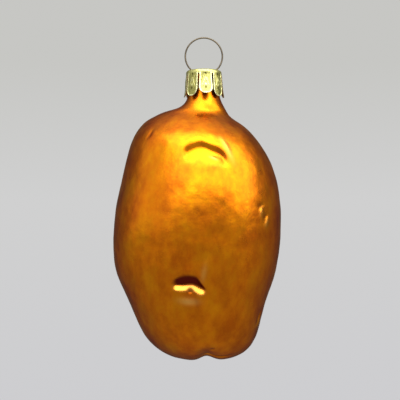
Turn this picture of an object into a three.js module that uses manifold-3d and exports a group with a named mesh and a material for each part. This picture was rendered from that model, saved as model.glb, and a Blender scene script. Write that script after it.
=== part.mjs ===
// A blown-glass potato ornament: a hollow glass body, a stamped crown cap over its neck, and the
// wire hanger that is sprung into the neck through the cap.
//
// Millimetres, +Z up, +X to the right of someone facing the ornament, +Y away from them.
// The origin is where a hook carries the ornament: the inside of the wire loop's top.

import * as THREE from "three";
import { mergeVertices } from "three/addons/utils/BufferGeometryUtils.js";
import Module from "manifold-3d";

const wasm = await Module();
wasm.setup();

// Driving dimensions.
const WIRE_R = 0.25;
const LOOP_R = 5.8; // centreline of the wire loop
const LOOP_Z = -(LOOP_R - WIRE_R);

const CAP_TOP_Z = -10.1;
const CAP_TOP_R = 5.55;
const CAP_FOOT_R = 6.15;
const CAP_HEIGHT = 8.4; // down to the petals' tips
const CAP_SHEET = 0.35;
const CAP_CORNER_R = 0.8;
const PETALS = 8;
const PETAL_ROUND = 2.4; // height of a petal's rounded end
const FRONT_PETAL_SHORT = 0.7; // the petal that faces forward is cut shorter
const FRONT_PETAL_OUT = 0.9; // and its tip is bent out by this much
const SLIT_WIDTH = 0.6;
const SLIT_TOP = 1.3; // from the cap's top down to where the slits start
const CAP_TURN = THREE.MathUtils.degToRad(5.5);
const LEG_HOLE_X = 3.35;
const LEG_HOLE_R = 0.7;

const CLEARANCE = 0.3;
const WALL = 1.0;
const NECK_TOP_Z = CAP_TOP_Z - CAP_SHEET - CLEARANCE;

const GLASS_SIDES = 44;
const GLASS_RINGS = 40;
const CAP_SIDES = 64;
const CAP_WALL_ROWS = 3;
const WIRE_SIDES = 8;
const WIRE_STEPS = 76;

// The glass body's sections from the neck down. Each is an ellipse in a level plane:
// height, then how far it reaches to the left, right, front and back of the neck's axis.
const SECTIONS = [
  [NECK_TOP_Z, -4.8, 4.8, -4.8, 4.8],
  [-14.8, -4.8, 4.8, -4.8, 4.8],
  [-18.6, -5.3, 5.0, -5.1, 5.1],
  [-20.6, -6.7, 5.8, -6.1, 6.1],
  [-22.2, -10.0, 6.7, -8.3, 8.5],
  [-24.2, -15.4, 7.9, -11.6, 12.2],
  [-27.0, -19.3, 11.4, -14.8, 15.6],
  [-31.0, -21.7, 15.5, -17.6, 18.4],
  [-37.0, -23.9, 19.5, -20.2, 21.0],
  [-45.0, -25.6, 22.4, -22.0, 22.9],
  [-54.0, -27.5, 23.8, -23.0, 23.9],
  [-64.0, -28.5, 23.6, -23.0, 24.0],
  [-73.0, -27.2, 22.0, -22.2, 22.9],
  [-82.0, -23.4, 19.1, -20.2, 20.6],
  [-90.0, -19.9, 17.2, -17.4, 17.6],
  [-95.5, -16.2, 14.9, -14.0, 14.2],
  [-99.0, -11.2, 11.0, -9.6, 9.8],
  [-100.5, -5.6, 5.7, -4.8, 5.0],
  [-100.7, 0.0, 0.0, 0.0, 0.0],
];

// The potato's eyes and the dimple under it, as soft hollows pressed into the skin:
// a point near the hollow, its half width across and up, and its depth.
const HOLLOWS = [
  { at: [0.5, -20.0, -36.0], across: 4.6, up: 2.6, depth: 1.8 },
  { at: [-4.9, -22.0, -76.2], across: 4.6, up: 2.4, depth: 2.4 },
  { at: [18.6, -12.0, -54.0], across: 2.6, up: 2.2, depth: 1.2 },
  { at: [-17.0, -12.0, -29.5], across: 2.2, up: 2.4, depth: 0.8 },
  { at: [17.0, -9.0, -87.6], across: 3.2, up: 2.2, depth: 1.0 },
  { at: [9.0, 21.0, -47.0], across: 4.4, up: 2.6, depth: 1.7 },
  { at: [-12.0, 19.0, -68.0], across: 4.2, up: 2.4, depth: 1.8 },
  { at: [5.0, 18.0, -85.0], across: 3.4, up: 2.2, depth: 1.3 },
];
const CREASE = { halfWidth: 3.0, depth: 1.3, startZ: -93, fullZ: -99 };

// A natural cubic spline through rows of numbers, one row at each knot.
function splineThrough(knots, rows) {
  const last = knots.length - 1;
  const width = rows[0].length;
  const bends = rows.map(() => new Array(width).fill(0));
  for (let column = 0; column < width; column++) {
    const upper = new Array(last + 1).fill(0);
    const right = new Array(last + 1).fill(0);
    for (let i = 1; i < last; i++) {
      const before = knots[i] - knots[i - 1];
      const after = knots[i + 1] - knots[i];
      const rise = (rows[i + 1][column] - rows[i][column]) / after;
      const run = (rows[i][column] - rows[i - 1][column]) / before;
      const pivot = 2 * (before + after) - before * upper[i - 1];
      upper[i] = after / pivot;
      right[i] = (6 * (rise - run) - before * right[i - 1]) / pivot;
    }
    for (let i = last - 1; i > 0; i--) {
      bends[i][column] = right[i] - upper[i] * bends[i + 1][column];
    }
  }
  return (t) => {
    let i = 0;
    while (i < last - 1 && t > knots[i + 1]) i++;
    const span = knots[i + 1] - knots[i];
    const b = (t - knots[i]) / span;
    const a = 1 - b;
    return rows[i].map((value, column) => {
      const bend = (a ** 3 - a) * bends[i][column] + (b ** 3 - b) * bends[i + 1][column];
      return a * value + b * rows[i + 1][column] + (bend * span * span) / 6;
    });
  };
}

// The sections as a spline along the body's profile. It runs on past the bottom, mirrored, so that
// the profile comes round level and smooth where the sections shrink to a point.
function glassProfile() {
  const mirrored = SECTIONS.slice(-4, -1).reverse();
  const rows = [...SECTIONS, ...mirrored.map(([z, l, r, f, b]) => [z, r, l, b, f])];
  const knots = [0];
  for (let i = 1; i < rows.length; i++) {
    const drop = rows[i][0] - rows[i - 1][0];
    const widen = (rows[i][2] - rows[i][1] - rows[i - 1][2] + rows[i - 1][1]) / 2;
    knots.push(knots[i - 1] + Math.hypot(drop, widen));
  }
  return { sectionAt: splineThrough(knots, rows), length: knots[SECTIONS.length - 1] };
}

function hollowDepth(point) {
  let depth = 0;
  for (const { at, across, up, depth: deepest } of HOLLOWS) {
    const level = Math.hypot(point.x - at[0], point.y - at[1]) / across;
    const tall = (point.z - at[2]) / up;
    depth += deepest * Math.exp(-(level * level + tall * tall));
  }
  const down = THREE.MathUtils.smoothstep(-point.z, -CREASE.startZ, -CREASE.fullZ);
  depth += CREASE.depth * down * Math.exp(-((point.x / CREASE.halfWidth) ** 2));
  return depth;
}

// The body's skin as rings of points from the neck's rim to the bottom, where they end in one point.
function skinGeometry() {
  const { sectionAt, length } = glassProfile();
  const positions = [];
  for (let ring = 0; ring < GLASS_RINGS; ring++) {
    const [z, left, right, front, back] = sectionAt((length * ring) / GLASS_RINGS);
    for (let side = 0; side < GLASS_SIDES; side++) {
      const angle = (2 * Math.PI * side) / GLASS_SIDES;
      const x = (left + right) / 2 + ((right - left) / 2) * Math.cos(angle);
      const y = (front + back) / 2 + ((back - front) / 2) * Math.sin(angle);
      positions.push(x, y, z);
    }
  }
  positions.push(...[1, 3, 0].map((column) => sectionAt(length)[column]));
  const pole = GLASS_RINGS * GLASS_SIDES;
  const faces = [];
  for (let ring = 0; ring < GLASS_RINGS; ring++) {
    for (let side = 0; side < GLASS_SIDES; side++) {
      const next = (side + 1) % GLASS_SIDES;
      const a = ring * GLASS_SIDES + side;
      const b = ring * GLASS_SIDES + next;
      if (ring === GLASS_RINGS - 1) {
        faces.push(a, pole, b);
      } else {
        faces.push(a, a + GLASS_SIDES, b, b, a + GLASS_SIDES, b + GLASS_SIDES);
      }
    }
  }
  const skin = new THREE.BufferGeometry();
  skin.setAttribute("position", new THREE.Float32BufferAttribute(positions, 3));
  skin.setIndex(faces);
  skin.computeVertexNormals();
  return skin;
}

// Moves each point of a skin inwards along its normal by inset(point).
function insetSkin(skin, inset) {
  const moved = skin.clone();
  const place = moved.getAttribute("position");
  const normals = skin.getAttribute("normal");
  const point = new THREE.Vector3();
  const normal = new THREE.Vector3();
  for (let i = 0; i < place.count; i++) {
    point.fromBufferAttribute(place, i);
    normal.fromBufferAttribute(normals, i);
    if (i < GLASS_SIDES) normal.setZ(0).normalize();
    point.addScaledVector(normal, -inset(point));
    place.setXYZ(i, point.x, point.y, point.z);
  }
  moved.computeVertexNormals();
  return moved;
}

// The outer skin, the inner skin turned inside out, and a flat rim that joins them round the neck.
function glassBody() {
  const outer = insetSkin(skinGeometry(), hollowDepth);
  const inner = insetSkin(outer, () => WALL);
  const outerCount = outer.getAttribute("position").count;
  const positions = [...outer.getAttribute("position").array, ...inner.getAttribute("position").array];
  const faces = [...outer.index.array];
  for (let i = 0; i < inner.index.count; i += 3) {
    const [a, b, c] = [0, 1, 2].map((corner) => inner.index.array[i + corner] + outerCount);
    faces.push(a, c, b);
  }
  for (let side = 0; side < GLASS_SIDES; side++) {
    const next = (side + 1) % GLASS_SIDES;
    faces.push(side, next, outerCount + side);
    faces.push(next, outerCount + next, outerCount + side);
  }
  const shell = new THREE.BufferGeometry();
  shell.setAttribute("position", new THREE.Float32BufferAttribute(positions, 3));
  shell.setIndex(faces);
  return shell;
}

function toSolid(geometry) {
  const bare = geometry.clone();
  bare.deleteAttribute("normal");
  bare.deleteAttribute("uv");
  const merged = mergeVertices(bare, 1e-4);
  const vertProperties = Float32Array.from(merged.getAttribute("position").array);
  const triVerts = Uint32Array.from(merged.index.array);
  return new wasm.Manifold(new wasm.Mesh({ numProp: 3, vertProperties, triVerts }));
}

function toGeometry(solid) {
  const mesh = solid.getMesh();
  const geometry = new THREE.BufferGeometry();
  geometry.setAttribute("position", new THREE.Float32BufferAttribute(mesh.vertProperties, 3));
  geometry.setIndex(new THREE.Uint32BufferAttribute(mesh.triVerts, 1));
  return geometry;
}

// One slit between two petals, with the round corners that it gives both of them, whose tips are
// at leftTipZ and rightTipZ. The shape is drawn across and up, and pushed out along the radius.
function slitCutter(leftTipZ, rightTipZ) {
  const half = SLIT_WIDTH / 2;
  const petalHalf = CAP_FOOT_R * Math.sin(Math.PI / PETALS);
  const belowZ = CAP_TOP_Z - CAP_HEIGHT - 1;
  const topZ = CAP_TOP_Z - SLIT_TOP - half;
  const reach = petalHalf - half;
  const shape = new THREE.Shape();
  shape.moveTo(half, topZ);
  shape.absarc(0, topZ, half, 0, Math.PI, false);
  shape.lineTo(-half, leftTipZ + PETAL_ROUND);
  shape.absellipse(-petalHalf, leftTipZ + PETAL_ROUND, reach, PETAL_ROUND, 0, -Math.PI / 2, true, 0);
  shape.lineTo(-petalHalf, belowZ);
  shape.lineTo(petalHalf, belowZ);
  shape.lineTo(petalHalf, rightTipZ);
  shape.absellipse(petalHalf, rightTipZ + PETAL_ROUND, reach, PETAL_ROUND, -Math.PI / 2, -Math.PI, true, 0);
  shape.closePath();
  const cutter = new THREE.ExtrudeGeometry(shape, {
    depth: CAP_FOOT_R,
    bevelEnabled: false,
    curveSegments: 4,
  });
  cutter.rotateX(Math.PI / 2);
  cutter.translate(0, -CAP_TOP_R / 2, 0);
  return cutter;
}

// The cap's wall and corner, from the foot up to the top's middle, inset by a part of the sheet.
function cupProfile(inset) {
  const cornerX = CAP_TOP_R - CAP_CORNER_R;
  const cornerZ = CAP_TOP_Z - CAP_CORNER_R;
  const corner = new THREE.Path();
  corner.absarc(cornerX, cornerZ, CAP_CORNER_R - inset, 0, Math.PI / 2, false);
  const points = [];
  for (let row = 0; row < CAP_WALL_ROWS; row++) {
    const up = row / CAP_WALL_ROWS;
    const radius = THREE.MathUtils.lerp(CAP_FOOT_R, CAP_TOP_R, up) - inset;
    points.push(new THREE.Vector2(radius, CAP_TOP_Z - CAP_HEIGHT + up * (CAP_HEIGHT - CAP_CORNER_R)));
  }
  points.push(...corner.getPoints(3), new THREE.Vector2(0, CAP_TOP_Z - inset));
  return points;
}

// Bends the petal that faces forward out from the neck, more and more towards its tip.
function bendFrontPetal(geometry) {
  const place = geometry.getAttribute("position");
  const bendTopZ = CAP_TOP_Z - SLIT_TOP;
  const bendLength = CAP_HEIGHT - SLIT_TOP - FRONT_PETAL_SHORT;
  for (let i = 0; i < place.count; i++) {
    const [x, y, z] = [place.getX(i), place.getY(i), place.getZ(i)];
    const fromFront = Math.abs(Math.atan2(x, -y) - CAP_TURN);
    if (fromFront < Math.PI / PETALS && z < bendTopZ) {
      const out = FRONT_PETAL_OUT * ((bendTopZ - z) / bendLength) ** 2;
      const radius = Math.hypot(x, y);
      place.setXY(i, x + (x / radius) * out, y + (y / radius) * out);
    }
  }
}

// A pressed cup of thin sheet, slit into petals that stand out a little at their tips.
function crownCap() {
  const profile = [...cupProfile(CAP_SHEET).reverse(), ...cupProfile(0)];
  const cup = new THREE.LatheGeometry(profile, CAP_SIDES);
  cup.rotateX(Math.PI / 2);
  let solid = toSolid(cup);
  const tips = new Array(PETALS).fill(CAP_TOP_Z - CAP_HEIGHT);
  tips[0] += FRONT_PETAL_SHORT;
  for (let petal = 0; petal < PETALS; petal++) {
    const cutter = slitCutter(tips[petal], tips[(petal + 1) % PETALS]);
    cutter.rotateZ(CAP_TURN + ((petal + 0.5) * 2 * Math.PI) / PETALS);
    solid = solid.subtract(toSolid(cutter));
  }
  for (const side of [-1, 1]) {
    const hole = new THREE.CylinderGeometry(LEG_HOLE_R, LEG_HOLE_R, 4 * CAP_SHEET, 16);
    hole.rotateX(Math.PI / 2);
    hole.translate(side * LEG_HOLE_X, 0, CAP_TOP_Z);
    solid = solid.subtract(toSolid(hole));
  }
  const cap = toGeometry(solid);
  bendFrontPetal(cap);
  return cap;
}

// One wire: a leg up out of the neck, round the loop, and down again through the cap's other hole.
// The legs spread below the cap, which is what holds them in the neck.
function hangerPath() {
  const leg = [
    [4.6, -25.5],
    [3.5, -22.0],
    [2.95, -18.0],
    [2.75, -14.0],
    [2.8, -11.6],
  ];
  const points = leg.map(([x, z]) => new THREE.Vector3(-x, 0, z));
  const open = THREE.MathUtils.degToRad(36);
  const arcSteps = 20;
  for (let i = 0; i <= arcSteps; i++) {
    const angle = open + ((2 * Math.PI - 2 * open) * i) / arcSteps;
    points.push(new THREE.Vector3(-LOOP_R * Math.sin(angle), 0, LOOP_Z - LOOP_R * Math.cos(angle)));
  }
  points.push(...leg.reverse().map(([x, z]) => new THREE.Vector3(x, 0, z)));
  return new THREE.CatmullRomCurve3(points, false, "centripetal");
}

function wireHanger() {
  const section = new THREE.Shape();
  section.absarc(0, 0, WIRE_R, 0, 2 * Math.PI, false);
  const wire = new THREE.ExtrudeGeometry(section, {
    steps: WIRE_STEPS,
    curveSegments: WIRE_SIDES / 2,
    extrudePath: hangerPath(),
  });
  return toGeometry(toSolid(wire));
}

function named(name, geometry, material) {
  const mesh = new THREE.Mesh(geometry, material);
  mesh.name = name;
  return mesh;
}

const amberGlass = new THREE.MeshStandardMaterial({ color: 0xb86a08, roughness: 0.35, metalness: 0.9 });
const paleBrass = new THREE.MeshStandardMaterial({ color: 0xcfc27c, roughness: 0.3, metalness: 1 });
const bronzeWire = new THREE.MeshStandardMaterial({ color: 0x6b6146, roughness: 0.35, metalness: 1 });

const ornament = new THREE.Group();
ornament.name = "potato_ornament";
ornament.add(named("glass_body", glassBody(), amberGlass));
ornament.add(named("crown_cap", crownCap(), paleBrass));
ornament.add(named("wire_hanger", wireHanger(), bronzeWire));

export default ornament;
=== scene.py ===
import math

import bpy
import numpy as np
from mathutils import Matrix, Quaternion, Vector, noise


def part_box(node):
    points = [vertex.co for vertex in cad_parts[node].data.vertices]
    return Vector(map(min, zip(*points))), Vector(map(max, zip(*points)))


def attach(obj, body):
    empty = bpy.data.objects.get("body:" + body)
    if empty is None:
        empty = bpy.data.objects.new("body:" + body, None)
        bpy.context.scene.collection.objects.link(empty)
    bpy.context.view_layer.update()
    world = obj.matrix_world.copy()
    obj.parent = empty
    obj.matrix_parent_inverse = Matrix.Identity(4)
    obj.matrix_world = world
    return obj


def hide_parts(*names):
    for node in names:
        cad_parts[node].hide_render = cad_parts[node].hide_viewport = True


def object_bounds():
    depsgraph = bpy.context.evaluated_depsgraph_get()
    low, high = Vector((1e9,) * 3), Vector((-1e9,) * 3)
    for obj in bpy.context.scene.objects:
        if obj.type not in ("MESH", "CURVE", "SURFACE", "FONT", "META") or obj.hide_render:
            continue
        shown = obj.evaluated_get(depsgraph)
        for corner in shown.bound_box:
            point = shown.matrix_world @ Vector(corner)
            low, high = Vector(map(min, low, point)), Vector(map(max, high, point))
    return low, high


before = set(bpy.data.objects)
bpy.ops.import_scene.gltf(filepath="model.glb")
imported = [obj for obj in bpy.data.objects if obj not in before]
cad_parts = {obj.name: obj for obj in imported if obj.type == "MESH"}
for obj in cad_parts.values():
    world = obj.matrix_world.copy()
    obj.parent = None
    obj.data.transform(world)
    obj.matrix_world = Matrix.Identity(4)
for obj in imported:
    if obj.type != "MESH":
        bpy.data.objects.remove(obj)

# A blown-glass potato ornament: glass silvered inside and lacquered amber, a stamped crown cap and
# a wire hanger. Shapes are worked out in millimetres, in the frame's axes, and made in metres.
# Sections of the glass are placed by depth below its neck's rim, the cap's rows by depth below its
# top, and the eyes, strokes and crease by height in the frame.

CAD_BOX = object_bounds()
MM = 0.001
SHARP_ANGLE = math.radians(50)
NECK_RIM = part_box("glass_body")[1][2] / MM
CAP_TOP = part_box("crown_cap")[1][2] / MM


# ---------------------------------------------------------------- numbers and meshes

def smoothstep(low, high, value):
    t = np.clip((value - low) / (high - low), 0, 1)
    return t * t * (3 - 2 * t)


def bell(value):
    return np.exp(-value * value)


def spline(knots, rows):
    """A natural cubic spline through rows, one at each knot, as a function of an array."""
    knots = np.asarray(knots, float)
    rows = np.asarray(rows, float).reshape(len(knots), -1)
    spans = np.diff(knots)
    count = len(knots)
    system = np.eye(count)
    right = np.zeros_like(rows)
    for i in range(1, count - 1):
        before, after = spans[i - 1], spans[i]
        system[i, i - 1:i + 2] = before, 2 * (before + after), after
        right[i] = 6 * ((rows[i + 1] - rows[i]) / after - (rows[i] - rows[i - 1]) / before)
    bends = np.linalg.solve(system, right)

    def at(t):
        t = np.clip(np.asarray(t, float), knots[0], knots[-1])
        i = np.clip(np.searchsorted(knots, t, side="right") - 1, 0, count - 2)
        span = spans[i][..., None]
        b = (t - knots[i])[..., None] / span
        a = 1 - b
        bend = (a ** 3 - a) * bends[i] + (b ** 3 - b) * bends[i + 1]
        return a * rows[i] + b * rows[i + 1] + bend * span * span / 6

    return at


def line_through(points):
    """A smooth line b(a) through (a, b) points."""
    curve = spline([p[0] for p in points], [p[1] for p in points])
    return lambda a: curve(a)[..., 0]


def noise_at(points, size, seed):
    """Smooth noise from about -1 to 1 with features about size millimetres across."""
    shift = Vector((seed * 17.3, seed * -5.9, seed * 11.1))
    values = [noise.noise(Vector(p) / size + shift) for p in points.reshape(-1, 3).tolist()]
    return np.array(values).reshape(points.shape[:-1])


def unit(vectors):
    return vectors / np.linalg.norm(vectors, axis=-1, keepdims=True)


def make_piece(name, points, faces, material, node, attributes=()):
    """A smooth mesh from millimetre points, riding on the root in place of a CAD node."""
    mesh = bpy.data.meshes.new(name)
    mesh.from_pydata((np.asarray(points) * MM).tolist(), [], [list(map(int, f)) for f in faces])
    mesh.shade_smooth()
    for label, values in attributes:
        layer = mesh.attributes.new(label, "FLOAT", "POINT")
        layer.data.foreach_set("value", np.asarray(values, np.float32))
    mesh.validate()
    mesh.set_sharp_from_angle(angle=SHARP_ANGLE)
    mesh.materials.append(material)
    piece = bpy.data.objects.new(name, mesh)
    bpy.context.scene.collection.objects.link(piece)
    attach(piece, "root")
    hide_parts(node)
    return piece


# ---------------------------------------------------------------- materials

def new_material(name):
    material = bpy.data.materials.new(name)
    material.use_nodes = True
    tree = material.node_tree
    return material, tree, tree.nodes["Principled BSDF"]


def add_node(tree, kind, inputs=(), **settings):
    node = tree.nodes.new(kind)
    for key, value in settings.items():
        setattr(node, key, value)
    for key, value in dict(inputs).items():
        if isinstance(value, bpy.types.NodeSocket):
            tree.links.new(value, node.inputs[key])
        else:
            node.inputs[key].default_value = value
    return node


def ramp(tree, value, stops):
    """A colour ramp over value, with (position, grey or colour) stops."""
    node = add_node(tree, "ShaderNodeValToRGB", {"Fac": value})
    elements = node.color_ramp.elements
    while len(elements) < len(stops):
        elements.new(0.5)
    for element, (position, colour) in zip(elements, stops):
        element.position = position
        rgb = (colour,) * 3 if isinstance(colour, (int, float)) else colour
        element.color = (*rgb, 1)
    return node.outputs["Color"]


def noise_texture(tree, scale, detail, stretch=(1, 1, 1), roughness=0.5):
    """Noise over the object's own coordinates, in features per metre."""
    place = add_node(tree, "ShaderNodeTexCoord").outputs["Object"]
    sized = add_node(tree, "ShaderNodeMapping", {"Vector": place, "Scale": stretch}).outputs["Vector"]
    inputs = {"Vector": sized, "Scale": scale, "Detail": detail, "Roughness": roughness}
    return add_node(tree, "ShaderNodeTexNoise", inputs).outputs["Fac"]


def mix_colours(tree, factor, first, second, blend="MIX"):
    node = add_node(tree, "ShaderNodeMix", data_type="RGBA", blend_type=blend)
    for socket, value in ((node.inputs[0], factor), (node.inputs[6], first), (node.inputs[7], second)):
        if isinstance(value, bpy.types.NodeSocket):
            tree.links.new(value, socket)
        else:
            socket.default_value = value
    return node.outputs[2]


DARK_LACQUER = (0.55, 0.118, 0.0002)
MIDDLE_LACQUER = (0.69, 0.182, 0.0002)
LIGHT_LACQUER = (0.76, 0.25, 0.0002)
# Painted shade for the hollows under the eyes' brows and sunken strokes, and a painted highlight for the
# eyes' lips and raised strokes.
PAINTED_SHADE_LACQUER, PAINTED_HIGHLIGHT_LACQUER = (0.10, 0.004, 0.0), (0.90, 0.50, 0.11)
TARNISH, BRASS, PAINTED_HIGHLIGHT_BRASS = (0.16, 0.14, 0.03), (0.58, 0.55, 0.17), (0.84, 0.81, 0.42)
DARK_BRONZE, LIGHT_BRONZE = (0.09, 0.072, 0.05), (0.19, 0.155, 0.105)


def lacquered_glass():
    """Amber lacquer over silvered glass: a tinted, satin mirror that darkens towards its edges."""
    material, tree, shader = new_material("lacquered_glass")
    patches = noise_texture(tree, 150, 6, stretch=(1, 1, 0.7), roughness=0.65)
    tones = ramp(tree, patches, [(0.34, DARK_LACQUER), (0.5, MIDDLE_LACQUER), (0.66, LIGHT_LACQUER)])
    streaks = noise_texture(tree, 420, 2, stretch=(1, 1, 0.3))
    shade = ramp(tree, streaks, [(0.3, 0.86), (0.7, 1.0)])
    streaked = mix_colours(tree, 1.0, tones, shade, "MULTIPLY")
    # The lacquer's colour is darkened by painted shade in the eyes' hollows and sunken strokes, and paled
    # by a painted highlight on the lips and raised strokes.
    painted_shade = add_node(tree, "ShaderNodeAttribute", attribute_name="painted_shade").outputs["Fac"]
    painted_highlight = add_node(tree, "ShaderNodeAttribute", attribute_name="painted_highlight").outputs["Fac"]
    deep = mix_colours(tree, painted_shade, streaked, (*PAINTED_SHADE_LACQUER, 1))
    lacquer = mix_colours(tree, painted_highlight, deep, (*PAINTED_HIGHLIGHT_LACQUER, 1))
    tree.links.new(lacquer, shader.inputs["Base Color"])
    rough = ramp(tree, noise_texture(tree, 300, 3), [(0.3, 0.27), (0.7, 0.35)])
    tree.links.new(rough, shader.inputs["Roughness"])
    peel = noise_texture(tree, 560, 3)
    bump = add_node(tree, "ShaderNodeBump", {"Height": peel, "Strength": 0.45, "Distance": 0.00013})
    tree.links.new(bump.outputs["Normal"], shader.inputs["Normal"])
    shader.inputs["Metallic"].default_value = 1.0
    shader.inputs["Specular Tint"].default_value = (0.33, 0.26, 0.04, 1)
    shader.inputs["Coat Weight"].default_value = 0.38
    shader.inputs["Coat Roughness"].default_value = 0.3
    shader.inputs["Coat IOR"].default_value = 1.25
    return material


def stamped_brass():
    """Pale brass-coloured sheet, olive where tarnish stays in the embossing, and lighter on the raised
    border, knobs and ring as a painted highlight.
    """
    material, tree, shader = new_material("stamped_brass")
    height = add_node(tree, "ShaderNodeAttribute", attribute_name="emboss").outputs["Fac"]
    # Raised embossing gets a painted highlight, and low places get the tarnish colour.
    metal = ramp(tree, height, [(0.1, TARNISH), (0.45, BRASS), (0.8, PAINTED_HIGHLIGHT_BRASS)])
    spots = ramp(tree, noise_texture(tree, 2400, 3), [(0.38, 0.55), (0.6, 1.0)])
    tree.links.new(mix_colours(tree, 1.0, metal, spots, "MULTIPLY"), shader.inputs["Base Color"])
    rough = ramp(tree, noise_texture(tree, 1100, 2), [(0.3, 0.30), (0.7, 0.48)])
    tree.links.new(rough, shader.inputs["Roughness"])
    grain = noise_texture(tree, 3500, 2)
    bump = add_node(tree, "ShaderNodeBump", {"Height": grain, "Strength": 0.3, "Distance": 0.00005})
    tree.links.new(bump.outputs["Normal"], shader.inputs["Normal"])
    shader.inputs["Metallic"].default_value = 1.0
    return material


def bronze_wire():
    material, tree, shader = new_material("bronze_wire")
    tone = ramp(tree, noise_texture(tree, 250, 2), [(0.3, DARK_BRONZE), (0.7, LIGHT_BRONZE)])
    tree.links.new(tone, shader.inputs["Base Color"])
    rough = ramp(tree, noise_texture(tree, 300, 2), [(0.3, 0.42), (0.7, 0.52)])
    tree.links.new(rough, shader.inputs["Roughness"])
    shader.inputs["Metallic"].default_value = 1.0
    return material


# ---------------------------------------------------------------- glass body

# Level sections of the body, ellipses: depth below the neck's rim, then the reach to the left,
# right, front and back of the neck's axis.
NECK_R = 4.8
SECTIONS = [
    (0.0, -NECK_R, NECK_R, -NECK_R, NECK_R),
    (4.05, -NECK_R, NECK_R, -NECK_R, NECK_R),
    (7.85, -5.2, 5.1, -5.1, 5.1),
    (9.85, -6.4, 5.9, -6.0, 6.1),
    (11.0, -8.2, 6.5, -6.5, 6.9),
    (12.2, -12.2, 7.2, -7.2, 8.6),
    (13.45, -15.2, 8.1, -8.35, 11.0),
    (14.85, -17.8, 9.9, -10.2, 13.3),
    (16.25, -19.5, 11.9, -12.05, 15.1),
    (17.6, -20.6, 13.5, -13.8, 16.4),
    (20.25, -22.0, 16.0, -16.8, 18.2),
    (26.25, -23.9, 20.0, -19.9, 21.0),
    (34.25, -25.7, 22.8, -22.0, 22.9),
    (43.25, -27.6, 24.0, -23.0, 23.9),
    (53.25, -28.4, 23.8, -23.0, 24.0),
    (62.25, -27.4, 22.2, -22.2, 22.9),
    (71.25, -23.4, 19.1, -20.2, 20.6),
    (79.25, -19.9, 17.2, -17.4, 17.6),
    (84.75, -15.8, 14.8, -13.8, 14.0),
    (88.0, -10.8, 10.8, -9.4, 9.6),
    (89.3, -5.6, 5.7, -4.8, 5.0),
    (89.5, 0.0, 0.0, 0.0, 0.0),
]
GLASS_RINGS = 240
GLASS_SIDES = 288
INNER_EVERY = 3  # the inner skin keeps one ring in this many
GLASS_WALL = 1.0
FRONT_CROWDING = 0.25  # how much closer the columns stand at the front

# Eyes. A brow is the upper edge, from which the skin drops to the floor line, and it comes out
# again at the foot line. The lines are (right, up) from the eye's middle, seen from outside, and
# two amounts give the painted shade under the brow and the painted highlight on the slope below.
EYES = [
    dict(  # the upper one, a wide crescent
        at=(0.26, -35.35), front=True, depth=1.0, lip=0.1, painted_shade_amount=0.05, painted_highlight_amount=0.0,
        brow=[(-6.9, -0.4), (-4.9, 2.0), (-3.4, 2.6), (-1.7, 2.9), (0.0, 2.4), (1.5, 1.6), (2.9, 1.2),
              (4.4, 0.4), (5.6, -0.8), (7.0, -3.4)],
        floor=[(-6.9, -1.4), (-4.9, -0.7), (-3.4, -0.1), (-2.0, 0.5), (-0.5, 0.7), (1.0, 0.2),
               (2.4, -0.5), (3.9, -1.0), (5.3, -1.8), (7.0, -4.2)],
        foot=[(-6.9, -3.6), (-3.0, -5.6), (1.0, -6.2), (4.4, -6.0), (7.0, -5.8)],
    ),
    dict(  # the lower one, a deep half moon over a bright lip
        at=(-4.64, -74.6), front=True, depth=1.15, lip=0.1, painted_shade_amount=1.0, painted_highlight_amount=0.35,
        brow=[(-5.2, 0.2), (-3.7, 1.9), (-2.3, 2.8), (-0.4, 3.25), (1.5, 3.0), (2.7, 2.3), (3.7, 0.6),
              (4.6, -0.7), (5.6, -1.8)],
        floor=[(-5.2, -0.3), (-3.2, -0.5), (-0.9, -0.4), (1.5, -0.3), (2.5, -0.7), (3.4, -1.25),
               (5.6, -2.3)],
        foot=[(-5.2, -2.0), (-2.0, -2.5), (0.0, -2.3), (1.6, -2.6), (3.0, -3.7), (4.4, -3.6), (5.6, -3.2)],
    ),
    dict(  # two at the back, in the same style
        at=(9.0, -47.0), front=False, depth=1.3, lip=0.1, painted_shade_amount=0.5, painted_highlight_amount=0.3,
        brow=[(-5.5, -1.0), (-3.0, 1.6), (0.5, 2.2), (3.5, 1.2), (6.0, -1.4)],
        floor=[(-5.5, -2.2), (-3.0, -0.5), (0.5, 0.1), (3.5, -0.6), (6.0, -2.4)],
        foot=[(-5.5, -3.4), (0.5, -4.6), (6.0, -3.8)],
    ),
    dict(
        at=(-12.0, -68.0), front=False, depth=1.3, lip=0.1, painted_shade_amount=0.9, painted_highlight_amount=0.6,
        brow=[(-4.6, -0.4), (-2.0, 1.9), (1.5, 2.3), (4.8, -0.3)],
        floor=[(-4.6, -1.2), (-1.0, -0.6), (1.5, -0.7), (4.8, -1.4)],
        foot=[(-4.6, -2.6), (0.0, -3.3), (4.8, -2.8)],
    ),
]
EYE_FADE = 1.7  # how far in from its ends an eye reaches its full depth
SAME_SIDE = 9.0  # skin further than this from a mark's tangent plane has no part of it

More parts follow.
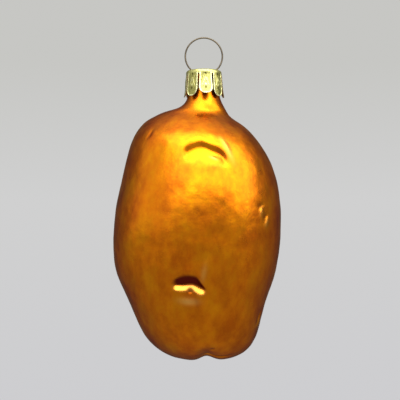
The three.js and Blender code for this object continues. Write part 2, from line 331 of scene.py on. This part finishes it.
# Small strokes: a point on the skin (x, height), front or back, half length, half width, turn in
# degrees from level, and how far the skin rises (or sinks, below 0).
STROKES = [
    ((6.9, -35.4), True, 3.4, 0.85, -74, 0.2),  # the ridge at the upper eye's right
    ((2.9, -38.0), True, 1.1, 0.45, -20, 0.22),
    ((-4.2, -76.9), True, 0.8, 0.6, 0, -0.6),  # the dimple on the lower eye's lip
    ((-4.6, -79.9), True, 2.6, 1.0, -4, 0.38),
    ((-2.4, -79.6), True, 0.4, 0.4, 0, -0.2),
    ((-0.2, -71.5), True, 2.4, 0.7, 80, 0.2),
    ((17.0, -52.1), True, 1.2, 0.6, 15, -0.32),  # the small double eye at the right
    ((16.8, -54.0), True, 1.4, 0.6, 80, 0.24),
    ((18.1, -55.2), True, 1.0, 0.55, 30, -0.3),
    ((18.6, -57.0), True, 1.5, 0.65, 60, 0.24),
    ((-16.0, -30.6), True, 1.3, 0.55, 84, -0.2),
    ((16.8, -85.8), True, 1.9, 0.55, 62, -0.6),
    ((16.4, -88.2), True, 1.8, 1.2, 40, 0.25),
    ((3.8, -98.0), True, 3.4, 0.5, 4, -0.8),
    ((2.4, -95.2), True, 0.6, 0.5, 30, -0.3),
    ((-13.0, -48.0), False, 1.4, 0.5, 60, -0.5),
    ((3.0, -86.0), False, 2.6, 0.7, 8, -0.9),
    ((3.4, -88.0), False, 2.4, 1.2, 5, 0.4),
    ((17.0, -72.0), False, 1.3, 0.6, 100, -0.5),
]
WAVES = [(15, 0.30), (6.5, 0.10), (2.4, 0.045)]  # the skin's unevenness: its size and height
PAINTED_SHADE_IN_STROKES = 1.3  # painted shade, for each millimetre that a stroke sinks
PAINTED_HIGHLIGHT_IN_STROKES = 1.5  # painted highlight, for each millimetre that a stroke rises
CREASE_X = 0.8
CREASE_HALF_WIDTH, CREASE_DEPTH = 2.8, 1.55
CREASE_TOP, CREASE_FULL = -93.0, -99.0


def body_grid():
    """The plain body as rings of points, its outward normals, and the point at the bottom."""
    rows = np.array(SECTIONS)
    mirrored = rows[-4:-1][::-1][:, [0, 2, 1, 4, 3]]
    table = np.vstack([rows, mirrored])
    widths = (table[:, 2] - table[:, 1]) / 2
    steps = np.hypot(np.diff(table[:, 0]), np.diff(widths))
    knots = np.concatenate([[0], np.cumsum(steps)])
    length = knots[len(rows) - 1]
    section_at = spline(knots, table)
    down, left, right, front, back = section_at(length * np.arange(GLASS_RINGS) / GLASS_RINGS).T[:, :, None]
    turn = 2 * np.pi * np.arange(GLASS_SIDES) / GLASS_SIDES
    angle = turn - FRONT_CROWDING * np.sin(turn) - np.pi / 2
    x = (left + right) / 2 + (right - left) / 2 * np.cos(angle)
    y = (front + back) / 2 + (back - front) / 2 * np.sin(angle)
    points = np.stack([x, y, NECK_RIM - down + 0 * x], axis=-1)
    along = np.gradient(points, axis=0)
    around = np.roll(points, -1, axis=1) - np.roll(points, 1, axis=1)
    normals = unit(np.cross(along, around))
    end = section_at(length)
    pole = np.array([end[1], end[3], NECK_RIM - end[0]])
    return points, normals, pole


def local_places(points, normals, at, front):
    """How far right and up each point is of the skin at (x, height), and whether it is near."""
    side = -1 if front else 1
    gap = np.hypot(points[..., 0] - at[0], points[..., 2] - at[1])
    gap[normals[..., 1] * side < 0] = np.inf
    index = np.unravel_index(np.argmin(gap), gap.shape)
    middle, normal = points[index], normals[index]
    right = unit(np.cross((0, 0, 1), normal))
    up = np.cross(normal, right)
    offset = points - middle
    near = (np.abs(offset @ normal) < SAME_SIDE) & (normals @ normal > 0)
    return offset @ right, offset @ up, near


def eye_rise(points, normals, at, front, depth, lip, brow, floor, foot, painted_shade_amount, painted_highlight_amount):
    """The rise at each point, and how much painted shade darkens the hollow under the brow and painted
    highlight pales the lip.
    """
    a, b, near = local_places(points, normals, at, front)
    start, end = brow[0][0], brow[-1][0]
    fade = near * smoothstep(start, start + EYE_FADE, a) * (1 - smoothstep(end - EYE_FADE, end, a))
    brow_b, floor_b, foot_b = (line_through(line)(a) for line in (brow, floor, foot))
    below_brow = (brow_b - b) / (brow_b - floor_b)
    below_floor = (floor_b - b) / (floor_b - foot_b)
    hollow = np.where(b > floor_b, smoothstep(0, 1, below_brow), 1 - smoothstep(0, 1, below_floor))
    rise = lip * bell((b - brow_b - 0.7) / 0.9) - depth * hollow
    # Painted shade under the brow, and a painted highlight on the slope below the floor line.
    eye_shade = painted_shade_amount * smoothstep(0, 0.35, below_brow) * (1 - smoothstep(-0.05, 0.2, below_floor))
    eye_highlight = painted_highlight_amount * smoothstep(0, 0.3, below_floor) * (1 - smoothstep(0.7, 1.1, below_floor))
    return fade * rise, fade * eye_shade, fade * eye_highlight


def stroke_rise(points, normals, at, front, half_length, half_width, turn, rise):
    a, b, near = local_places(points, normals, at, front)
    cos, sin = math.cos(math.radians(turn)), math.sin(math.radians(turn))
    along, across = (a * cos + b * sin) / half_length, (b * cos - a * sin) / half_width
    return np.where(near, rise * bell(along) * bell(across), 0)


def skin_rise(points, normals):
    """How far out (or in, below 0) each point moves, and where painted shade and painted highlight go."""
    rise = sum(height * noise_at(points, size, seed) for seed, (size, height) in enumerate(WAVES, 1))
    rise *= smoothstep(8, 15, NECK_RIM - points[..., 2])
    shade_paint, highlight_paint = np.zeros_like(rise), np.zeros_like(rise)
    for eye in EYES:
        height, eye_shade, eye_highlight = eye_rise(points, normals, **eye)
        rise += height
        shade_paint = np.maximum(shade_paint, eye_shade)
        highlight_paint = np.maximum(highlight_paint, eye_highlight)
    for stroke in STROKES:
        height = stroke_rise(points, normals, *stroke)
        rise += height
        # Sunken strokes get painted shade, raised ones a painted highlight.
        shade_paint = np.maximum(shade_paint, -PAINTED_SHADE_IN_STROKES * height)
        highlight_paint = np.maximum(highlight_paint, PAINTED_HIGHLIGHT_IN_STROKES * height)
    low = 1 - smoothstep(CREASE_FULL, CREASE_TOP, points[..., 2])
    rise -= CREASE_DEPTH * low * bell((points[..., 0] - CREASE_X) / CREASE_HALF_WIDTH)
    return rise, shade_paint, highlight_paint


def skin_faces(rings, sides, first=0):
    """Quads between the rings and a fan to the point after the last one, facing outwards."""
    faces = []
    for ring in range(rings - 1):
        for side in range(sides):
            a = first + ring * sides + side
            b = first + ring * sides + (side + 1) % sides
            faces.append((a, a + sides, b + sides, b))
    last = first + (rings - 1) * sides
    pole = first + rings * sides
    faces += [(last + side, pole, last + (side + 1) % sides) for side in range(sides)]
    return faces


def build_glass(material):
    points, normals, pole = body_grid()
    rise, shade_paint, highlight_paint = skin_rise(points, normals)
    outer = points + normals * rise[..., None]
    outer_pole = pole + np.array([0, 0, CREASE_DEPTH])
    along = np.gradient(outer, axis=0)
    around = np.roll(outer, -1, axis=1) - np.roll(outer, 1, axis=1)
    inner = (outer - GLASS_WALL * unit(np.cross(along, around)))[::INNER_EVERY]
    inner[0] = outer[0] * (1 - GLASS_WALL / NECK_R)
    inner[0, :, 2] = NECK_RIM
    inner_pole = outer_pole + np.array([0, 0, GLASS_WALL])
    rings, sides = outer.shape[:2]
    faces = skin_faces(rings, sides)
    first = rings * sides + 1
    faces += [face[::-1] for face in skin_faces(len(inner), sides, first)]
    for side in range(sides):
        after = (side + 1) % sides
        faces.append((side, after, first + after, first + side))
    all_points = np.vstack([outer.reshape(-1, 3), outer_pole, inner.reshape(-1, 3), inner_pole])
    inside = np.zeros(len(all_points) - rings * sides)
    # Painted shade and painted highlight, stored per point; the inner skin gets none.
    painted_light_layers = [
        ("painted_shade", np.concatenate([shade_paint.ravel(), inside])),
        ("painted_highlight", np.concatenate([highlight_paint.ravel(), inside])),
    ]
    return make_piece("glass", all_points, faces, material, "glass_body", painted_light_layers)


# ---------------------------------------------------------------- crown cap

CAP_TOP_R, CAP_FOOT_R = 5.55, 6.15
CAP_HEIGHT = 8.4
CAP_CORNER_R = 0.8
CAP_SHEET = 0.28
PETALS = 8
PETAL_COLUMNS, SLIT_COLUMNS = 30, 3
PETAL_ROUND = 2.4
SLIT_WIDTH, SLIT_TOP = 0.6, 1.3
CAP_TURN = math.radians(5.5)
FRONT_PETAL_SHORT, FRONT_PETAL_OUT = 0.7, 0.85


def cap_wall_radius(down):
    return np.interp(down, [CAP_CORNER_R, CAP_HEIGHT], [CAP_TOP_R, CAP_FOOT_R])


def petal_emboss(across, down, edge):
    """The stamped pattern's height: a rolled border, two dots and a chevron, over a stippled field."""
    border = 0.13 * bell((edge - 0.22) / 0.2)
    field = -0.05 * smoothstep(0.35, 0.6, edge)
    dots = -0.10 * (bell(np.hypot(across, down - 1.5) / 0.3) + bell(np.hypot(across, down - 5.9) / 0.32))
    knob = 0.10 * bell(np.hypot(across, down - 4.9) / 0.42)
    arm = np.abs(np.abs(across) - 0.42 * (down - 2.6)) / 0.2
    chevron = 0.08 * bell(arm) * smoothstep(2.4, 2.8, down) * (1 - smoothstep(5.0, 5.5, down))
    leaf = np.abs(np.abs(across) - 0.9 + 0.28 * (down - 2.0)) / 0.16
    veins = 0.05 * bell(leaf) * smoothstep(1.8, 2.2, down) * (1 - smoothstep(3.6, 4.2, down))
    inside = smoothstep(0.3, 0.5, edge)
    return border + field + inside * (dots + knob + chevron + veins)


def cap_rows():
    """Rows of the cap's outside: (radius, depth, is it in the petals, share of the petal's width)."""
    rows = [(radius, 0.0, False, 1.0) for radius in np.linspace(0.5, CAP_TOP_R - CAP_CORNER_R, 12)]
    for turn in np.linspace(0, math.pi / 2, 7)[1:]:
        radius = CAP_TOP_R - CAP_CORNER_R * (1 - math.sin(turn))
        rows.append((radius, CAP_CORNER_R * (1 - math.cos(turn)), False, 1.0))
    rows += [(None, down, False, 1.0) for down in np.linspace(CAP_CORNER_R, SLIT_TOP, 4)[1:]]
    rows += [(None, down, True, 1.0) for down in np.linspace(SLIT_TOP, CAP_HEIGHT - PETAL_ROUND, 26)[1:]]
    for turn in np.linspace(0, math.radians(86), 16)[1:]:
        down = CAP_HEIGHT - PETAL_ROUND * (1 - math.sin(turn))
        rows.append((None, down, True, math.cos(turn)))
    return rows


def cap_sheet():
    """The outside of the pressed sheet: points, faces and the embossing's height at each point."""
    slit_half = SLIT_WIDTH / 2 / CAP_FOOT_R
    petal_half = math.pi / PETALS - slit_half
    points, heights, faces = [(0, 0, CAP_TOP)], [0.0], []
    columns = PETALS * (PETAL_COLUMNS + SLIT_COLUMNS)
    index = {}
    rows = cap_rows()
    for number, (radius, down, in_petals, share) in enumerate(rows):
        for column in range(columns):
            petal, place = divmod(column, PETAL_COLUMNS + SLIT_COLUMNS)
            is_petal = place <= PETAL_COLUMNS
            if in_petals and not is_petal:
                continue
            short = FRONT_PETAL_SHORT if petal == 0 else 0.0
            depth = down
            if in_petals:
                depth = SLIT_TOP + (down - SLIT_TOP) * (1 - short / (CAP_HEIGHT - SLIT_TOP))
            u = 2 * place / PETAL_COLUMNS - 1 if is_petal else 0.0
            if is_petal:
                angle = u * petal_half * (share if in_petals else 1.0)
            else:
                angle = petal_half + 2 * slit_half * (place - PETAL_COLUMNS) / SLIT_COLUMNS
            wall = float(cap_wall_radius(depth)) if radius is None else radius
            across = u * share * petal_half * CAP_FOOT_R
            side_edge = (1 - abs(u)) * share * petal_half * CAP_FOOT_R
            tip_edge = CAP_HEIGHT - short - depth
            edge = min(side_edge, tip_edge if in_petals else 9.0)
            height = 0.0
            if radius is None and is_petal:
                height = float(petal_emboss(across, depth, edge)) * float(smoothstep(1.0, 1.5, depth))
            if radius is None:
                bend = FRONT_PETAL_OUT if petal == 0 else 0.12 * math.sin(3.7 * petal)
                reach = max(0.0, (depth - SLIT_TOP) / (CAP_HEIGHT - SLIT_TOP - short))
                wall += (bend * reach ** 2 if is_petal else 0.0) + height
                z = CAP_TOP - depth
            else:
                ring = 0.07 * float(bell((wall - 3.9) / 0.35) - bell((wall - 2.2) / 0.5))
                z = CAP_TOP - depth + (ring if down == 0 else 0.0)
                height = ring
            turn = CAP_TURN - math.pi / 2 + 2 * math.pi * petal / PETALS + angle
            index[number, column] = len(points)
            points.append((wall * math.cos(turn), wall * math.sin(turn), z))
            heights.append(height)
    for column in range(columns):
        faces.append((0, index[0, column], index[0, (column + 1) % columns]))
    for number in range(len(rows) - 1):
        for column in range(columns):
            after = (column + 1) % columns
            corners = [(number, column), (number + 1, column), (number + 1, after), (number, after)]
            if rows[number + 1][2] and column % (PETAL_COLUMNS + SLIT_COLUMNS) >= PETAL_COLUMNS:
                continue
            faces.append([index[corner] for corner in corners])
    return np.array(points), faces, np.array(heights)


def thicken(points, faces, thickness):
    """A closed sheet: the faces, a copy of them set in by the thickness, and walls at open edges."""
    normals = np.zeros_like(points)
    for face in faces:
        corners = points[list(face)]
        normals[list(face)] += np.cross(corners[1] - corners[0], corners[-1] - corners[0])
    inner = points - thickness * unit(normals)
    count = len(points)
    edges = {}
    for face in faces:
        for a, b in zip(face, [*face[1:], face[0]]):
            edges[a, b] = True
    walls = [(b, a, a + count, b + count) for a, b in edges if (b, a) not in edges]
    backs = [tuple(i + count for i in reversed(face)) for face in faces]
    return np.vstack([points, inner]), [*map(tuple, faces), *backs, *walls]


def build_cap(material):
    sheet, faces, heights = cap_sheet()
    points, faces = thicken(sheet, faces, CAP_SHEET)
    emboss = np.clip(0.5 + np.concatenate([heights, heights]) * 4, 0, 1)
    return make_piece("cap", points, faces, material, "crown_cap", [("emboss", emboss)])


# ---------------------------------------------------------------- wire hanger

WIRE_R, LOOP_R = 0.25, 5.8
WIRE_SIDES, WIRE_STEPS = 16, 300
LEG = [(4.6, -25.5), (3.5, -22.0), (2.95, -18.0), (2.75, -14.0), (2.8, -11.6)]
LOOP_OPENING = math.radians(36)


def build_wire(material):
    loop_z = -(LOOP_R - WIRE_R)
    turns = np.linspace(LOOP_OPENING, 2 * math.pi - LOOP_OPENING, 21)
    loop = [(-LOOP_R * math.sin(turn), loop_z - LOOP_R * math.cos(turn)) for turn in turns]
    route = np.array([(-x, z) for x, z in LEG] + loop + LEG[::-1])
    knots = np.concatenate([[0], np.cumsum(np.linalg.norm(np.diff(route, axis=0), axis=1))])
    place = spline(knots, route)(np.linspace(0, knots[-1], WIRE_STEPS + 1))
    along = unit(np.gradient(place, axis=0))
    points = []
    for (x, z), (dx, dz) in zip(place, along):
        for side in range(WIRE_SIDES):
            turn = 2 * math.pi * side / WIRE_SIDES
            out, depth = WIRE_R * math.cos(turn), WIRE_R * math.sin(turn)
            points.append((x - dz * out, depth, z + dx * out))
    faces = []
    for step in range(WIRE_STEPS):
        for side in range(WIRE_SIDES):
            a = step * WIRE_SIDES + side
            b = step * WIRE_SIDES + (side + 1) % WIRE_SIDES
            faces.append((a, a + WIRE_SIDES, b + WIRE_SIDES, b))
    faces.append(tuple(range(WIRE_SIDES)))
    faces.append(tuple(WIRE_STEPS * WIRE_SIDES + side for side in reversed(range(WIRE_SIDES))))
    return make_piece("wire", points, faces, material, "wire_hanger")


# ---------------------------------------------------------------- camera, light and floor

VIEW_DISTANCE = 0.260
VIEW_WIDTH = 0.1252  # what the picture spans at the object
VIEW_X = -0.0012
VIEW_DROP = 0.0005
FLOOR_DROP = 0.9
FLOOR_R, FLOOR_SOLID_R = 1.5, 0.5


def add_camera():
    low, high = (np.array(corner) for corner in CAD_BOX)
    data = bpy.data.cameras.new("camera")
    data.sensor_width = 36
    data.lens = data.sensor_width * VIEW_DISTANCE / VIEW_WIDTH
    data.clip_start = 0.01
    camera = bpy.data.objects.new("camera", data)
    camera.location = (VIEW_X, -VIEW_DISTANCE, (low[2] + high[2]) / 2 - VIEW_DROP)
    camera.rotation_euler = (math.pi / 2, 0, 0)
    bpy.context.scene.collection.objects.link(camera)
    bpy.context.scene.camera = camera


def add_softbox(name, azimuth, elevation, distance, size, radiance, roll=0):
    """A light that faces the object, as bright as a mirror would show it."""
    data = bpy.data.lights.new(name, "AREA")
    data.shape = "RECTANGLE"
    data.size, data.size_y = size
    data.energy = radiance * math.pi * size[0] * size[1]
    lamp = bpy.data.objects.new(name, data)
    middle = Vector((0, 0, (CAD_BOX[0][2] + CAD_BOX[1][2]) / 2))
    turn, lift = math.radians(azimuth), math.radians(elevation)
    way = Vector((math.sin(turn) * math.cos(lift), -math.cos(turn) * math.cos(lift), math.sin(lift)))
    lamp.location = middle + way * distance
    facing = way.to_track_quat("Z", "Y") @ Quaternion((0, 0, 1), math.radians(roll))
    lamp.rotation_euler = facing.to_euler()
    lamp.visible_camera = False
    bpy.context.scene.collection.objects.link(lamp)


# Brightness by height, from straight down (0) to straight up (1): of the room that the object
# reflects, with a bright ceiling, and of the backdrop that the camera sees.
ROOM_LEVELS = [(0.0, 0.55), (0.12, 0.47), (0.28, 0.46), (0.6, 0.40), (0.8, 0.45), (0.93, 1.3), (1.0, 1.6)]
BACKDROP_LEVELS = [(0.3, (0.60, 0.60, 0.63)), (0.5, (0.63, 0.63, 0.63)), (0.58, (0.57, 0.57, 0.55))]


def set_world():
    """A pale backdrop to the camera, and to the object a room that is dimmer behind it."""
    world = bpy.data.worlds.new("studio")
    world.use_nodes = True
    tree = world.node_tree
    tree.nodes.clear()
    way = add_node(tree, "ShaderNodeTexCoord").outputs["Generated"]
    parts = add_node(tree, "ShaderNodeSeparateXYZ", {"Vector": way})
    upward = {"Value": parts.outputs["Z"], "From Min": -1.0}
    level = add_node(tree, "ShaderNodeMapRange", upward).outputs["Result"]
    behind = {"Value": parts.outputs["Y"], "From Min": -0.2, "From Max": 0.9, "To Min": 1.0, "To Max": 0.45}
    dimming = add_node(tree, "ShaderNodeMapRange", behind).outputs["Result"]
    room = ramp(tree, level, ROOM_LEVELS)
    room = mix_colours(tree, 1.0, room, dimming, "MULTIPLY")
    seen = ramp(tree, level, BACKDROP_LEVELS)
    camera_ray = add_node(tree, "ShaderNodeLightPath").outputs["Is Camera Ray"]
    colour = mix_colours(tree, camera_ray, room, seen)
    background = add_node(tree, "ShaderNodeBackground", {"Color": colour})
    output = add_node(tree, "ShaderNodeOutputWorld")
    tree.links.new(background.outputs["Background"], output.inputs["Surface"])
    bpy.context.scene.world = world


def add_floor():
    """A pale round floor well below the object, fading towards its rim and not mirrored in it."""
    material, tree, shader = new_material("floor")
    shader.inputs["Base Color"].default_value = (0.72, 0.72, 0.72, 1)
    shader.inputs["Roughness"].default_value = 0.9
    place = add_node(tree, "ShaderNodeTexCoord").outputs["Object"]
    reach = add_node(tree, "ShaderNodeVectorMath", {0: place}, operation="LENGTH").outputs["Value"]
    edges = {"Value": reach, "From Min": FLOOR_SOLID_R, "From Max": FLOOR_R, "To Min": 1, "To Max": 0}
    fade = add_node(tree, "ShaderNodeMapRange", edges)
    tree.links.new(fade.outputs["Result"], shader.inputs["Alpha"])
    mesh = bpy.data.meshes.new("floor")
    sides = 96
    turns = [2 * math.pi * i / sides for i in range(sides)]
    rim = [(FLOOR_R * math.cos(turn), FLOOR_R * math.sin(turn), 0) for turn in turns]
    mesh.from_pydata(rim, [], [tuple(range(sides))])
    mesh.materials.append(material)
    floor = bpy.data.objects.new("floor", mesh)
    floor.location = (0, 0, CAD_BOX[0][2] - FLOOR_DROP)
    bpy.context.scene.collection.objects.link(floor)
    floor.visible_glossy = False


add_camera()
set_world()
add_floor()
add_softbox("key", azimuth=28, elevation=41, distance=0.7, size=(1.9, 0.68), radiance=3.6, roll=-12)
add_softbox("top", azimuth=4, elevation=71, distance=0.7, size=(0.95, 0.42), radiance=3.4, roll=-8)
add_softbox("side", azimuth=-64, elevation=26, distance=0.7, size=(0.95, 0.72), radiance=0.62)
bpy.context.scene.view_settings.view_transform = "Standard"

build_glass(lacquered_glass())
build_cap(stamped_brass())
build_wire(bronze_wire())
